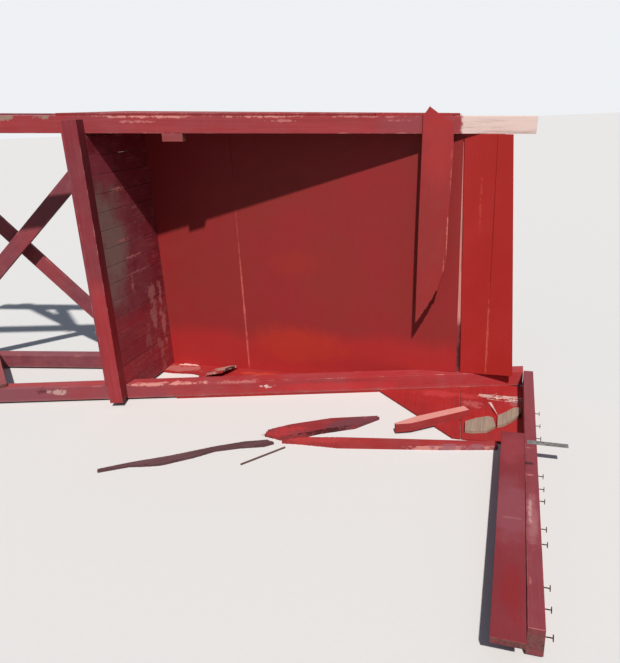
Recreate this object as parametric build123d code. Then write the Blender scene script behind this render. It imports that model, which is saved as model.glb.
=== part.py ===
from build123d import *
import math
import os

# A wooden lifeguard tower that has toppled on to its right side. Its roof is torn off and its
# right side is broken. All lengths are millimetres.
#
# Tower frame, in which the pieces are drawn: +X runs up the tower from the deck, -Y is the open
# front and +Z is the left side of someone who stands in front of it and looks in. Z = 0 is the
# middle of the deck. The finished tower is then laid down, so that its right side rests at Z = 0.

# Driving sizes of the frame
POST = 80.0                 # square side of posts and legs
DECK_HALF_WIDTH = 745.0     # middle of the deck to the outer face of a post
SIDE_LEAN = 1.44            # degrees that each side leans in towards the top
RACK = 1.44                 # degrees that the fall has pushed the frame over to its right
DECK_DEPTH = 522.0          # front face of the front posts to the inner face of the back wall
FRONT_LEAN = 15.95          # degrees that the front posts lean back
FRONT_POST_TOP = 2089.0     # height of the front posts above the deck
LEFT_POST_LOSS = 15.0       # how much has split off the top of the left one
LEG_LENGTH = 1780.0         # deck surface to the feet
BACK_LEG_SETBACK = 98.0     # front face of the back legs to the back wall, at the deck
BACK_LEG_LEAN = 9.5         # degrees that the back legs lean forward towards their feet

# Sizes of boards and sheets
SHEET = 12.0                # plywood of the walls
BOARD = 22.0                # sawn boards
BRACE_WIDTH = 90.0
BRACE_END = 30.0            # how far a side brace runs past the middle lines of the legs
JOIST_THICKNESS = 45.0
JOIST_DEPTH = 95.0
FIT = 1.0                   # clearance where one piece is cut round another
SEAT = 0.4                  # clearance where one piece is nailed flat to a slightly skewed one

# Inset of a piece that is fitted between the inner faces of the posts, or between the bearers
BETWEEN_POSTS = POST + SEAT
BETWEEN_BEARERS = BETWEEN_POSTS + JOIST_THICKNESS + SEAT

# Deck
DECK_BOARDS = 16
DECK_GAP = 2.0
RIM_WIDTH = 70.0
RIM_THICKNESS = 88.0
RIM_INSET = 15.0            # how much shorter than the deck the front rim is at each end

# Back wall, by height above the deck
LOWER_SHEET_TOP = 514.0
FULL_SHEET_WIDTH = 1221.0
UPPER_BOARD_WIDTH = 155.0
TOP_BOARD_LEFT = 70.0       # width of the skew-sawn top board at its left end
TOP_BOARD_RIGHT = 137.0     # and at its right end
WALL_DROP = 125.0           # how far the wall runs down past the deck surface
SHEET_JOINT = 3.0
UPPER_JOINT_SKEW = 0.9      # degrees by which the joint above the whole sheet has opened
STUD_THICKNESS = 45.0
NAILER_WIDTH = 70.0

# Side panels
CHEEK_TOP = 1340.0          # joint between the side cheek and the roof gusset
GUSSET_JOINT = 1765.0       # joint between the two gusset boards, at the back wall
GUSSET_JOINT_LEAN = 5.1     # degrees by which that joint rises towards the front
GUSSET_REACH = 568.0        # how far the gusset runs forward of the back wall
GUSSET_TOE = 40.0           # square end of the sloping gusset board at its front
GUSSET_STUB_TOP = 1722.0    # where the left gusset broke off

# Right roof edge
RAFTER_THICKNESS = 48.0
RAFTER_HEIGHT = 95.0
RAFTER_REACH = 1747.0       # length of the rafter forward of the back wall
RAFTER_SKEW = 0.3           # degrees that the rafter has turned down at its front end
VALANCE_WIDTH = 96.0
VALANCE_START = 640.0       # distance of the valance's back end from the back wall
VALANCE_END = 1806.0        # and of its front end, which runs past the rafter
VALANCE_SKEW = 0.15         # degrees that the valance has come away from the rafter
NAIL_RADIUS = 1.8
NAIL_HEAD_RADIUS = 10.0
NAIL_HEAD = 2.0
NAIL_STAND_OUT = 22.0       # how far the roofing nails stand out of the rafter
NAIL_PLACES = (11, 116, 205, 409, 491, 657, 736, 826, 1129, 1246, 1368)  # from its front end
STRAP_PLACE = 1017.0        # front end of the rafter to the strap
STRAP_WIDTH = 30.0
STRAP_THICKNESS = 2.0
STRAP_GRIP = 38.0           # length of the strap that is nailed to the rafter
STRAP_STAND_OUT = 124.0

# Header board, which hangs from the left front post
HEADER_DROP = 285.0         # the posts' crossing with the wall down to its left edge
HEADER_WIDTH = 146.0
HEADER_LENGTH = 1067.0
HEADER_RISE = 43.0          # how far its point stands past the outer face of the post

# Cleat on the inner face of the left front post
CLEAT_LENGTH = 96.0
CLEAT_HEIGHT = 38.0
CLEAT_DEPTH = 38.0
CLEAT_PLACE = 359.0

# Braces of the legs. Each place is a depth below the deck, on the middle line of a leg.
FRONT_BRACE_TOP = 66.0      # back brace on the front faces of the back legs
FRONT_BRACE_FOOT = 1663.0
REAR_BRACE_TOP = 165.0      # back brace on their back faces
REAR_BRACE_FOOT = 1560.0
SIDE_BRACE_TOP = 725.0      # side brace, on the front leg
SIDE_BRACE_FOOT = 1190.0    # and on the back leg

# Broken boards. Each lies at a place on the ground and is turned from the tower's length.
TRIM = 18.0                 # thickness of the trim boards
LONG_BOARD_END = 1976.0     # how far up the tower the long board's right end lies
LONG_BOARD_GAP = 40.0       # from the gusset's front edge to the middle of that end
LONG_BOARD_TURN = 9.6
LONG_BOARD_LENGTH = 970.0
BROKEN_BOARD_OFFSET = (-95.0, 29.0)     # from the long board's tip to its left end
BROKEN_BOARD_TURN = 27.0
BROKEN_BOARD_LENGTH = 560.0
SPLINTER_OFFSET = (-49.0, -26.0)        # from the long board's tip to its right end
SPLINTER_TURN = 31.1
SPLINTER_LENGTH = 800.0
SPLINTER_THICKNESS = 14.0
STICK_OFFSET = (15.0, -47.0)            # from the long board's tip to its right end
STICK_TURN = 52.0
STICK_LENGTH = 236.0
STICK_WIDTH = 8.0
STICK_THICKNESS = 7.0
LEFT_BATTEN_PLACE = (1820.0, -500.0)
LEFT_BATTEN_TURN = 30.0
RIGHT_BATTEN_PLACE = (1960.0, -450.0)
RIGHT_BATTEN_TURN = 50.0
BLOCK_PLACE = (1508.0, -580.0)
BLOCK_TURN = 37.0
BLOCK_LENGTH = 392.0
FLAP_PLACE = (303.0, -195.0)
FLAP_TURN = 50.0
FLAP_WIDTH = 79.0
FLAP_THICKNESS = 9.0
FLAP_TILT = 14.0            # degrees that the flap is raised at its front


def tan(degrees):
    return math.tan(math.radians(degrees))


def cos(degrees):
    return math.cos(math.radians(degrees))


def sin(degrees):
    return math.sin(math.radians(degrees))


# Inward lean of each side after the fall
LEFT = SIDE_LEAN + RACK
RIGHT = SIDE_LEAN - RACK
# Front of the tower: x up the front posts, y to the left, z outwards from their front faces
FRONT = Plane(
    origin=(0, -DECK_DEPTH, 0),
    x_dir=(cos(FRONT_LEAN), sin(FRONT_LEAN), 0),
    z_dir=(sin(FRONT_LEAN), -cos(FRONT_LEAN), 0),
)
# Back wall: x up the wall, y to the left, z from the wall's inner face towards the front
BACK = Plane(origin=(0, 0, 0), x_dir=(1, 0, 0), z_dir=(0, -1, 0))
# Back legs: x up the legs, y to the left, z outwards from their front faces
BACK_LEGS = Plane(
    origin=(0, -BACK_LEG_SETBACK, 0),
    x_dir=(cos(BACK_LEG_LEAN), sin(BACK_LEG_LEAN), 0),
    z_dir=(sin(BACK_LEG_LEAN), -cos(BACK_LEG_LEAN), 0),
)
# The ground that the tower lies on: x up the tower, y to the back
GROUND = Plane.XY


def slab(plane, outline, start, thickness):
    """A flat piece with the outline, from start to start + thickness along the plane's normal."""
    face = make_face(Polyline(*outline, close=True))
    return extrude(plane.offset(start) * face, amount=thickness, dir=plane.z_dir)


def side(lean):
    """Outer face of the posts: x up the side, y to the back, z outwards. It is drawn on the left."""
    return Plane(
        origin=(0, 0, DECK_HALF_WIDTH),
        x_dir=(cos(lean), 0, -sin(lean)),
        z_dir=(sin(lean), 0, cos(lean)),
    )


def front_line(height):
    """Y of the front posts' front faces at a height above the deck."""
    return -DECK_DEPTH + height * tan(FRONT_LEAN)


def back_leg_line(height):
    """Y of the back legs' front faces at a height above the deck."""
    return -BACK_LEG_SETBACK + height * tan(BACK_LEG_LEAN)


def edge(height, lean):
    """Distance from the middle of the deck to the outer face of a post at a height."""
    return DECK_HALF_WIDTH - height * tan(lean)


def across_tower(low, high, inset=0.0):
    """Outline that spans the tower between two heights, inset from both outer faces."""
    return [
        (low, inset - edge(low, RIGHT)),
        (high, inset - edge(high, RIGHT)),
        (high, edge(high, LEFT) - inset),
        (low, edge(low, LEFT) - inset),
    ]


def bar(plane, start, end, width, offset, thickness):
    """A straight board between two points of a plane, with square ends."""
    run = end - start
    across = Vector(-run.Y, run.X).normalized() * (width / 2)
    corners = [start + across, end + across, end - across, start - across]
    return slab(plane, [(p.X, p.Y) for p in corners], offset, thickness)


def on_right(piece):
    """A piece that was drawn on the left, moved to the right side."""
    return mirror(piece, about=Plane.XY)


def front_post(lean, clearance=0.0):
    """Leg and post in one length, from the foot to the roof, enlarged by a clearance."""
    foot = -LEG_LENGTH - clearance
    top = FRONT_POST_TOP - (LEFT_POST_LOSS if lean == LEFT else 0) + clearance
    depth = POST / cos(FRONT_LEAN) + clearance
    outline = [
        (foot, front_line(foot) - clearance),
        (top, front_line(top) - clearance),
        (top, front_line(top) + depth),
        (foot, front_line(foot) + depth),
    ]
    return slab(side(lean), outline, -POST - clearance, POST + 2 * clearance)


def back_leg(lean):
    """Leg from the foot to the underside of the deck boards."""
    depth = POST / cos(BACK_LEG_LEAN)
    outline = [
        (-LEG_LENGTH, back_leg_line(-LEG_LENGTH)),
        (-BOARD, back_leg_line(-BOARD)),
        (-BOARD, back_leg_line(-BOARD) + depth),
        (-LEG_LENGTH, back_leg_line(-LEG_LENGTH) + depth),
    ]
    return slab(side(lean), outline, -POST, POST)


def front_rim():
    """Board across the front edge of the deck, nailed to the fronts of the posts."""
    half = DECK_HALF_WIDTH - RIM_INSET
    outline = [(-RIM_WIDTH, -half), (0, -half), (0, half), (-RIM_WIDTH, half)]
    return slab(FRONT, outline, SEAT, RIM_THICKNESS)


def front_bearer():
    """Bearer behind the front rim, between the front posts."""
    low = -BOARD - JOIST_DEPTH
    high = -BOARD - SEAT
    outline = across_tower(low, high, BETWEEN_POSTS)
    return slab(FRONT, outline, -JOIST_THICKNESS, JOIST_THICKNESS)


def bearer(y_front, inset):
    """Bearer from side to side under the deck boards, set on edge."""
    outline = across_tower(-BOARD - JOIST_DEPTH, -BOARD, inset)
    return slab(BACK, outline, -y_front - JOIST_THICKNESS, JOIST_THICKNESS)


def side_bearer(lean):
    """Bearer on the inner faces of a front post and a back leg."""
    low = -BOARD - JOIST_DEPTH
    front_gap = JOIST_THICKNESS / cos(FRONT_LEAN) + FIT
    outline = [
        (low, front_line(low) + front_gap),
        (-BOARD, front_line(-BOARD) + front_gap),
        (-BOARD, -JOIST_THICKNESS - SEAT),
        (low, -JOIST_THICKNESS - SEAT),
    ]
    return slab(side(lean), outline, -POST - JOIST_THICKNESS, JOIST_THICKNESS)


def deck_boards():
    """Boards from the front rim to the back wall, the outer ones notched round the posts."""
    pitch = 2 * DECK_HALF_WIDTH / DECK_BOARDS
    boards = []
    for number in range(DECK_BOARDS):
        low = -DECK_HALF_WIDTH + number * pitch + DECK_GAP / 2
        high = low + pitch - DECK_GAP
        outline = [(-BOARD, low), (0, low), (0, high), (-BOARD, high)]
        board = slab(BACK, outline, 0, DECK_DEPTH)
        boards.append(board)
    in_front = slab(FRONT, across_tower(-RIM_WIDTH, RIM_WIDTH), -SEAT, POST)
    cutters = [in_front, *post_cutters()]
    return Compound([board.cut(*cutters) for board in boards])


def post_cutters():
    """Both front posts with the clearance that a sheet or board is cut round them with."""
    return [front_post(LEFT, FIT), on_right(front_post(RIGHT, FIT))]


def wall_sheet(low, high, inset=0.0):
    """A part of the back wall between two heights."""
    return slab(BACK, across_tower(low, high, inset), -SHEET, SHEET)


def upper_board(low, high):
    """Board above the whole sheet. It has come away from the sheet towards its right end."""
    board = wall_sheet(low, high, BETWEEN_POSTS)
    left_end = edge(low, LEFT)
    opened = (left_end + edge(low, RIGHT)) * tan(UPPER_JOINT_SKEW)
    wedge = [(low, left_end), (low, -edge(low, RIGHT)), (low + opened, -edge(low, RIGHT))]
    return board.cut(slab(BACK, wedge, -2 * SHEET, 3 * SHEET))


def top_board(low):
    """Uppermost board of the back wall, which was sawn off skew."""
    half_right = edge(low, RIGHT) - BETWEEN_POSTS
    half_left = edge(low, LEFT) - BETWEEN_POSTS
    outline = [
        (low, -half_right),
        (low + TOP_BOARD_RIGHT, -half_right + TOP_BOARD_RIGHT * tan(RIGHT)),
        (low + TOP_BOARD_LEFT, half_left - TOP_BOARD_LEFT * tan(LEFT)),
        (low, half_left),
    ]
    return slab(BACK, outline, -SHEET, SHEET)


def back_stud(lean):
    """Stud behind the back wall's edge, which ends against the front post."""
    low = -WALL_DROP
    top = FRONT_POST_TOP
    outline = [
        (low, edge(low, lean) - POST),
        (top, edge(top, lean) - POST),
        (top, edge(top, lean)),
        (low, edge(low, lean)),
    ]
    stud = slab(BACK, outline, -SHEET - STUD_THICKNESS, STUD_THICKNESS)
    return stud.cut(front_post(lean, FIT)).solids().sort_by(Axis.X)[0]


def cross_nailer(height):
    """Nailer behind a joint of the back wall, between the studs."""
    low = height - NAILER_WIDTH / 2
    outline = across_tower(low, low + NAILER_WIDTH, BETWEEN_POSTS)
    return slab(BACK, outline, -SHEET - STUD_THICKNESS, STUD_THICKNESS)


def cheek(low, high):
    """Triangular side panel on the outer faces of the posts."""
    back = SHEET + STUD_THICKNESS
    outline = [
        (low, front_line(low) + FIT),
        (high, front_line(high) + FIT),
        (high, back),
        (low, back),
    ]
    return slab(side(LEFT), outline, 0, SHEET)


def right_cheek():
    """The right side panel. Its lower corner has broken out, all but a strip at the wall."""
    back = SHEET + STUD_THICKNESS
    outline = [
        (262, front_line(262)),
        (CHEEK_TOP, front_line(CHEEK_TOP)),
        (CHEEK_TOP, back),
        (-WALL_DROP, back),
        (-WALL_DROP, -104),
        (-40, -128),
        (60, -134),
        (190, -122),
        (236, -132),
        (252, -160),
        (330, -228),
        (296, -330),
    ]
    return on_right(slab(side(RIGHT), outline, 0, SHEET))


def gusset_joint(y):
    """Height of the joint between the gusset boards at a distance from the back wall."""
    return GUSSET_JOINT - y * tan(GUSSET_JOINT_LEAN)


def right_gusset_lower():
    """Sloping board between the right post and the roof edge."""
    back = SHEET + STUD_THICKNESS
    low = CHEEK_TOP + SHEET_JOINT
    high = gusset_joint(-GUSSET_REACH) - SHEET_JOINT
    outline = [
        (low, front_line(low)),
        (high - GUSSET_TOE, -GUSSET_REACH),
        (high, -GUSSET_REACH),
        (gusset_joint(back) - SHEET_JOINT, back),
        (low, back),
    ]
    return on_right(slab(side(RIGHT), outline, 0, SHEET))


def right_gusset_upper():
    """Straight board between the right post and the rafter."""
    back = SHEET + STUD_THICKNESS
    high = FRONT_POST_TOP + FIT + RAFTER_THICKNESS
    outline = [
        (gusset_joint(-GUSSET_REACH), -GUSSET_REACH),
        (high - GUSSET_REACH * tan(RAFTER_SKEW), -GUSSET_REACH),
        (high, back),
        (gusset_joint(back), back),
    ]
    return on_right(slab(side(RIGHT), outline, 0, SHEET))


def left_gusset_stub():
    """What is left of the gusset on the left side, split off along a slanted line."""
    back = SHEET + STUD_THICKNESS
    low = CHEEK_TOP + SHEET_JOINT
    outline = [
        (low, front_line(low)),
        (GUSSET_STUB_TOP - 30, front_line(GUSSET_STUB_TOP - 30)),
        (GUSSET_STUB_TOP - 12, -10),
        (GUSSET_STUB_TOP, 28),
        (GUSSET_STUB_TOP - 55, back),
        (low, back),
    ]
    return slab(side(LEFT), outline, 0, SHEET)


def at_roof_edge(skew):
    """Frame at the right post's top: x up the tower, y along the roof edge to the back."""
    origin = (FRONT_POST_TOP + FIT, SHEET + STUD_THICKNESS, 0)
    return side(RIGHT) * Pos(*origin) * Rot(0, 0, -skew)


def right_rafter():
    """Rafter across the top of the right post, which carried the roof sheets."""
    length = RAFTER_REACH + SHEET + STUD_THICKNESS
    outline = [(0, -length), (RAFTER_THICKNESS, -length), (RAFTER_THICKNESS, 0), (0, 0)]
    rafter = slab(GROUND, outline, -RAFTER_HEIGHT, RAFTER_HEIGHT)
    return on_right(at_roof_edge(RAFTER_SKEW) * rafter)


def roofing_nails():
    """Nails that held the roof sheets. They stand out of the rafter."""
    length = RAFTER_REACH + SHEET + STUD_THICKNESS
    nails = []
    for place in NAIL_PLACES:
        foot = Pos(RAFTER_THICKNESS, place - length, -RAFTER_HEIGHT * 2 / 3) * Rot(0, 90, 0)
        shank = Cylinder(NAIL_RADIUS, NAIL_STAND_OUT, align=(Align.CENTER, Align.CENTER, Align.MIN))
        head = Pos(0, 0, NAIL_STAND_OUT - NAIL_HEAD) * Cylinder(
            NAIL_HEAD_RADIUS, NAIL_HEAD, align=(Align.CENTER, Align.CENTER, Align.MIN)
        )
        nails.append(on_right(at_roof_edge(RAFTER_SKEW) * foot * (shank + head)))
    return Compound(nails)


def rafter_strap():
    """Flat steel strap on the rafter's inner face, which held the roof down."""
    length = RAFTER_REACH + SHEET + STUD_THICKNESS
    near = STRAP_PLACE - length
    start, end = RAFTER_THICKNESS - STRAP_GRIP, RAFTER_THICKNESS + STRAP_STAND_OUT
    far = near + STRAP_WIDTH
    outline = [(start, near), (end, near), (end, far), (start, far)]
    strap = slab(GROUND, outline, -RAFTER_HEIGHT - STRAP_THICKNESS, STRAP_THICKNESS)
    return on_right(at_roof_edge(RAFTER_SKEW) * strap)


def right_valance():
    """Board below the rafter, which has come away from it towards the front."""
    far = -VALANCE_START - SHEET - STUD_THICKNESS
    near = -VALANCE_END - SHEET - STUD_THICKNESS
    outline = [(-VALANCE_WIDTH, near), (-SEAT, near), (-SEAT, far), (-VALANCE_WIDTH, far)]
    valance = slab(GROUND, outline, -RAFTER_HEIGHT, BOARD)
    come_away = Pos(0, far, 0) * Rot(0, 0, -VALANCE_SKEW) * Pos(0, -far, 0)
    return on_right(at_roof_edge(RAFTER_SKEW) * come_away * valance)


def header_board():
    """Broken header, nailed to the left front post. It ends in a long split."""
    left = DECK_DEPTH / sin(FRONT_LEAN) - HEADER_DROP
    top = edge(left, LEFT) + HEADER_RISE
    tip = top - HEADER_LENGTH
    right = left + HEADER_WIDTH
    outline = [
        (left, top - 36),
        (left + 31, top),
        (right - 4, top - 83),
        (right, top - 200),
        (right - 16, top - 492),
        (right - 22, top - 743),
        (left + 84, tip + 179),
        (left + 22, tip + 74),
        (left - 28, tip),
        (left - 16, top - 550),
    ]
    return slab(FRONT, outline, 0, BOARD)


def left_cleat():
    """Short block on the inner face of the left front post."""
    start = CLEAT_PLACE
    end = CLEAT_PLACE + CLEAT_LENGTH
    outline = [
        (start, front_line(start) + FIT),
        (end, front_line(end) + FIT),
        (end, front_line(end) + CLEAT_DEPTH),
        (start, front_line(start) + CLEAT_DEPTH),
    ]
    return slab(side(LEFT), outline, -POST - CLEAT_HEIGHT, CLEAT_HEIGHT)


def back_brace(rising_left, top, foot, offset_from_front):
    """Diagonal board across the back legs, on their front or their back faces.

    It butts under the bearers and is cut off at the outer faces of the legs.
    """
    sign = 1 if rising_left else -1
    start = edge(-top, LEFT if rising_left else RIGHT) - POST / 2
    end = edge(-foot, RIGHT if rising_left else LEFT) - POST / 2
    start, end = Vector(-top, sign * start), Vector(-foot, -sign * end)
    beyond = (end - start).normalized() * POST
    brace = bar(BACK_LEGS, start - beyond, end + beyond, BRACE_WIDTH, offset_from_front, BOARD)
    highest = -BOARD - JOIST_DEPTH - POST / 4
    between_outer_faces = across_tower(-LEG_LENGTH, highest)
    return brace & slab(BACK_LEGS, between_outer_faces, -LEG_LENGTH, 2 * LEG_LENGTH)


def side_brace(lean):
    """Diagonal board on the inner faces of a front post and a back leg."""
    top = Vector(-SIDE_BRACE_TOP, front_line(-SIDE_BRACE_TOP) + POST / 2)
    foot = Vector(-SIDE_BRACE_FOOT, back_leg_line(-SIDE_BRACE_FOOT) + POST / 2)
    past = (top - foot).normalized() * BRACE_END
    return bar(side(lean), top + past, foot - past, BRACE_WIDTH, -POST - BOARD, BOARD)


def lay_down(piece):
    """Turns the tower on to its right side, with the foot of the right cheek at the origin."""
    along = DECK_HALF_WIDTH * sin(RIGHT)
    drop = DECK_HALF_WIDTH * cos(RIGHT) + SHEET
    return Pos(along, 0, drop) * Rot(0, RIGHT, 0) * piece


def standing_pieces():
    """All pieces that are fixed to the tower, in the tower frame."""
    middle_top = LOWER_SHEET_TOP + SHEET_JOINT + FULL_SHEET_WIDTH
    upper_top = middle_top + UPPER_BOARD_WIDTH
    middle_sheet = wall_sheet(LOWER_SHEET_TOP + SHEET_JOINT, middle_top)
    middle_sheet = middle_sheet.cut(*post_cutters()).solids().sort_by(SortBy.VOLUME)[-1]
    return {
        "left_front_post": front_post(LEFT),
        "right_front_post": on_right(front_post(RIGHT)),
        "left_back_leg": back_leg(LEFT),
        "right_back_leg": on_right(back_leg(RIGHT)),
        "front_rim": front_rim(),
        "front_bearer": front_bearer(),
        "middle_bearer": bearer(-(DECK_DEPTH + JOIST_THICKNESS) / 2, BETWEEN_BEARERS),
        "back_bearer": bearer(-JOIST_THICKNESS, BETWEEN_POSTS),
        "left_bearer": side_bearer(LEFT),
        "right_bearer": on_right(side_bearer(RIGHT)),
        "deck_boards": deck_boards(),
        "back_wall_lower_sheet": wall_sheet(-WALL_DROP, LOWER_SHEET_TOP),
        "back_wall_middle_sheet": middle_sheet,
        "back_wall_upper_board": upper_board(middle_top + SHEET_JOINT, upper_top),
        "back_wall_top_board": top_board(upper_top + SHEET_JOINT),
        "left_back_stud": back_stud(LEFT),
        "right_back_stud": on_right(back_stud(RIGHT)),
        "lower_nailer": cross_nailer(LOWER_SHEET_TOP + SHEET_JOINT / 2),
        "upper_nailer": cross_nailer(middle_top + SHEET_JOINT / 2),
        "top_nailer": cross_nailer(upper_top + SHEET_JOINT / 2),
        "left_cheek": cheek(-WALL_DROP, CHEEK_TOP),
        "right_cheek": right_cheek(),
        "left_gusset_stub": left_gusset_stub(),
        "right_gusset_lower": right_gusset_lower(),
        "right_gusset_upper": right_gusset_upper(),
        "right_rafter": right_rafter(),
        "right_valance": right_valance(),
        "roofing_nails": roofing_nails(),
        "rafter_strap": rafter_strap(),
        "header_board": header_board(),
        "left_cleat": left_cleat(),
        "back_brace_front": back_brace(True, FRONT_BRACE_TOP, FRONT_BRACE_FOOT, SEAT),
        "back_brace_rear": back_brace(
            False, REAR_BRACE_TOP, REAR_BRACE_FOOT, -POST - BOARD - 2 * SEAT
        ),
        "left_side_brace": side_brace(LEFT),
        "right_side_brace": on_right(side_brace(RIGHT)),
    }


def lying(place, turn, outline, thickness, height=0.0, tilt=0.0):
    """A broken board that lies flat or tilted. Its outline runs along it from its left end."""
    x_dir = Vector(cos(turn), sin(turn), 0)
    z_dir = Vector(-sin(turn) * sin(tilt), cos(turn) * sin(tilt), cos(tilt))
    plane = Plane(origin=(*place, height), x_dir=x_dir, z_dir=z_dir)
    return slab(plane, outline, 0, thickness)


def long_board_tip():
    """Left end of the long board, beside which the other broken boards lie."""
    x = LONG_BOARD_END - LONG_BOARD_LENGTH * cos(LONG_BOARD_TURN)
    y = -GUSSET_REACH - LONG_BOARD_GAP - LONG_BOARD_LENGTH * sin(LONG_BOARD_TURN)
    return x, y


def beside_tip(offset, turn, length):
    """Left end of a board of that length whose right end lies at an offset from the tip."""
    x, y = long_board_tip()
    return x + offset[0] - length * cos(turn), y + offset[1] - length * sin(turn)


def long_board():
    """Long piece of trim that has split off the roof edge."""
    length = LONG_BOARD_LENGTH
    outline = [
        (-15, -12),
        (74, -18),
        (245, -42),
        (length - 255, -32),
        (length, -16),
        (length + 2, 30),
        (length / 2, 32),
        (237, 32),
        (66, 24),
    ]
    return lying(long_board_tip(), LONG_BOARD_TURN, outline, TRIM)


def broken_board():
    """Red board that has split to a point at both ends."""
    length = BROKEN_BOARD_LENGTH
    outline = [
        (-20, 8),
        (48, -46),
        (141, -54),
        (243, -34),
        (length - 140, -26),
        (length, 36),
        (length - 6, 48),
        (length - 240, 84),
        (117, 72),
        (0, 46),
    ]
    place = beside_tip(BROKEN_BOARD_OFFSET, BROKEN_BOARD_TURN, 0)
    return lying(place, BROKEN_BOARD_TURN, outline, TRIM)


def splinter():
    """Thin sliver of a post, thickest towards its right end."""
    length = SPLINTER_LENGTH
    outline = [
        (0, 0),
        (133, 4),
        (230, -20),
        (282, -28),
        (430, -8),
        (524, 16),
        (length - 160, 8),
        (length - 50, -14),
        (length, -4),
        (length - 25, 28),
        (length - 130, 46),
        (528, 46),
        (319, 28),
        (140, 26),
        (0, 14),
    ]
    place = beside_tip(SPLINTER_OFFSET, SPLINTER_TURN, length)
    return lying(place, SPLINTER_TURN, outline, SPLINTER_THICKNESS)


def stick():
    """Thin straight piece of a split edge."""
    half = STICK_WIDTH / 2
    outline = [(0, -half), (STICK_LENGTH, -half), (STICK_LENGTH, half), (0, half)]
    place = beside_tip(STICK_OFFSET, STICK_TURN, STICK_LENGTH)
    return lying(place, STICK_TURN, outline, STICK_THICKNESS)


def batten():
    """Batten on the right gusset, which has broken in two."""
    left_half = [(-4, -22), (22, -38), (90, -54), (150, -26), (178, 46), (165, 70), (100, 70), (36, 56)]
    right_half = [(12, -4), (50, -14), (119, -8), (200, 10), (244, 50), (212, 70), (148, 62), (90, 62)]
    left_half = lying(LEFT_BATTEN_PLACE, LEFT_BATTEN_TURN, left_half, TRIM, SHEET)
    right_half = lying(RIGHT_BATTEN_PLACE, RIGHT_BATTEN_TURN, right_half, TRIM, SHEET)
    return Compound([left_half, right_half])


def short_block():
    """Piece of a rail on the right gusset, split to a point at its left end."""
    length = BLOCK_LENGTH
    outline = [(0, -8), (70, -28), (length, -24), (length, 22), (120, 24), (0, 6)]
    return lying(BLOCK_PLACE, BLOCK_TURN, outline, STUD_THICKNESS, SHEET)


def torn_flap():
    """Torn layer of the right side panel, still down at one corner and raised at the others."""
    outline = [(0, 0), (83, -66), (219, -15), (209, 48), (100, FLAP_WIDTH)]
    height = SHEET + FLAP_WIDTH * sin(FLAP_TILT)
    return lying(FLAP_PLACE, FLAP_TURN, outline, FLAP_THICKNESS, height, FLAP_TILT)


def loose_pieces():
    """Broken boards that lie on the ground beside the tower or on its right side."""
    return {
        "loose_long_board": long_board(),
        "loose_broken_board": broken_board(),
        "loose_splinter": splinter(),
        "loose_stick": stick(),
        "loose_batten": batten(),
        "loose_short_block": short_block(),
        "loose_torn_flap": torn_flap(),
    }


def main():
    pieces = {name: lay_down(piece) for name, piece in standing_pieces().items()}
    pieces.update(loose_pieces())
    box = Compound(list(pieces.values())).bounding_box()
    to_origin = Pos(-box.center().X, -box.center().Y, -box.min.Z)
    os.makedirs("parts", exist_ok=True)
    for name, piece in pieces.items():
        export_step(to_origin * piece, f"parts/{name}.step")


main()
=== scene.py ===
"""A toppled wooden lifeguard tower: worn paint, torn boards and roofing nails over its frame.

Lengths are in metres and colours are linear. The tower lies on its right side: "up" leads up
the tower from its deck, "out" through its open front and "high" away from the ground.
"""

import math
from collections.abc import Callable
from typing import NamedTuple

import bmesh
import bpy
import mathutils
import numpy as np
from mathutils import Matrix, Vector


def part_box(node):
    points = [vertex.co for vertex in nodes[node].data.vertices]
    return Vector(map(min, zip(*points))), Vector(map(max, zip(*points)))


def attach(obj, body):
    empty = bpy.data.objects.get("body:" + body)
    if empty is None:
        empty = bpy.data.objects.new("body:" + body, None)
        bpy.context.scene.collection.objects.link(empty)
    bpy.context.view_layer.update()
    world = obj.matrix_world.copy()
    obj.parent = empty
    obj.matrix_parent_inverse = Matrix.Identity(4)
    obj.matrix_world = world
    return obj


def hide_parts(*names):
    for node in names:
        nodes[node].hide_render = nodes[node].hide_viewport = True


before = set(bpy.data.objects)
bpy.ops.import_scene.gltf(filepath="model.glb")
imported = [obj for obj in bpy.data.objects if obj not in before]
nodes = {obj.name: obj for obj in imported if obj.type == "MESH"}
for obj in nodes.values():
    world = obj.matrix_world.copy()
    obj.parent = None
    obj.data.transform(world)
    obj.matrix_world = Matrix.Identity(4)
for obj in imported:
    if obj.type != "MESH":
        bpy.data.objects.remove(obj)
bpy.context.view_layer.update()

# Paint of each part. CLOUD is the colour of its cloudy patches, LOW its colour near the ground.
RED_SHEET = (0.290, 0.021, 0.023)
RED_SHEET_CLOUD = (0.265, 0.024, 0.021)
RED_SHEET_LOW = (0.390, 0.022, 0.022)
RED_STRIP = (0.370, 0.016, 0.012)
RED_STRIP_CLOUD = (0.400, 0.020, 0.018)
RED_GUSSET = (0.420, 0.022, 0.022)
RED_HEADER = (0.350, 0.026, 0.025)
RED_HEADER_CLOUD = (0.280, 0.024, 0.022)
RED_UPPER_POST = (0.370, 0.040, 0.046)
RED_UPPER_POST_CLOUD = (0.330, 0.044, 0.052)
RED_LOWER_POST = (0.430, 0.034, 0.037)
RED_LOWER_POST_CLOUD = (0.390, 0.044, 0.050)
RED_LEG = (0.300, 0.050, 0.060)
RED_PLUM = (0.180, 0.040, 0.055)
RED_BRACE = (0.330, 0.060, 0.062)
RED_DECK = (0.260, 0.016, 0.032)
RED_DECK_CLOUD = (0.200, 0.012, 0.026)
RED_DECK_LOW = (0.380, 0.034, 0.046)
RED_RIM = (0.245, 0.030, 0.040)
RED_RIM_CLOUD = (0.210, 0.032, 0.042)
RED_RIM_LOW = (0.380, 0.036, 0.042)
RED_BEARER = (0.300, 0.040, 0.048)
RED_VALANCE = (0.205, 0.024, 0.030)
RED_VALANCE_CLOUD = (0.220, 0.026, 0.034)
RED_RAFTER = (0.240, 0.042, 0.052)
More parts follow.
